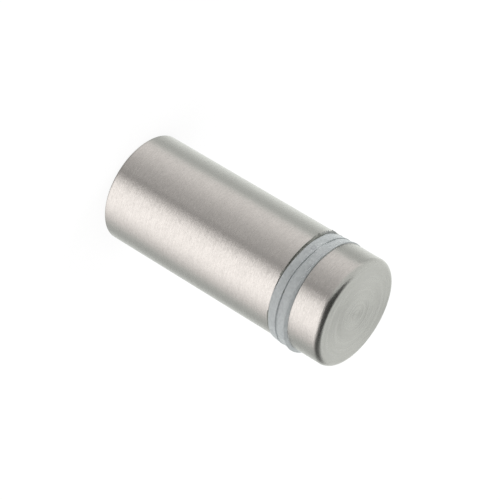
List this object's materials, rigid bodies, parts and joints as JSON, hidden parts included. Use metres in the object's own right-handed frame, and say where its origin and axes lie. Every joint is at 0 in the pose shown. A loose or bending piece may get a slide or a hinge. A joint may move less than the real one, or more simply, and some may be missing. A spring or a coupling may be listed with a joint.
{
  "type": "standoff spacer",
  "caption": "Round brushed-metal wall standoff: a hollow barrel screwed to the wall, plastic grip washers, and a short round-edged cap on a threaded stud that clamps a panel.",
  "frame": {"origin": "centre of the barrel's rear face, which lies on the wall", "axes": "+Z along the common axis of the barrel and cap, away from the wall; +X is the side to which the loose washers have dropped"},
  "size_m": [0.0194, 0.0194, 0.045],
  "materials": {
    "brushed_steel": "turned and brushed round its axis",
    "washer_plastic": "smoky translucent, moulded",
    "stud_steel": "plain rolled thread"
  },
  "bodies": {
    "barrel": {"barrel": "brushed_steel", "rear_washer": "washer_plastic"},
    "front_washer": {"front_washer": "washer_plastic"},
    "cap": {"cap": "brushed_steel", "stud": "stud_steel"}
  },
  "joints": [
    {"name": "cap_travel", "type": "slide", "parent": "barrel", "child": "front_washer", "axis": [0, 0, 1], "range_m": [0, 0.017]},
    {"name": "cap_turn", "type": "hinge", "parent": "front_washer", "child": "cap", "pos_m": [0, 0, 0.039], "axis": [0, 0, 1], "range_deg": [0, 4080]}
  ],
  "couplings": [
    {"joint": "cap_travel", "follows": "cap_turn", "m_per_rad": 0.00023873}
  ]
}
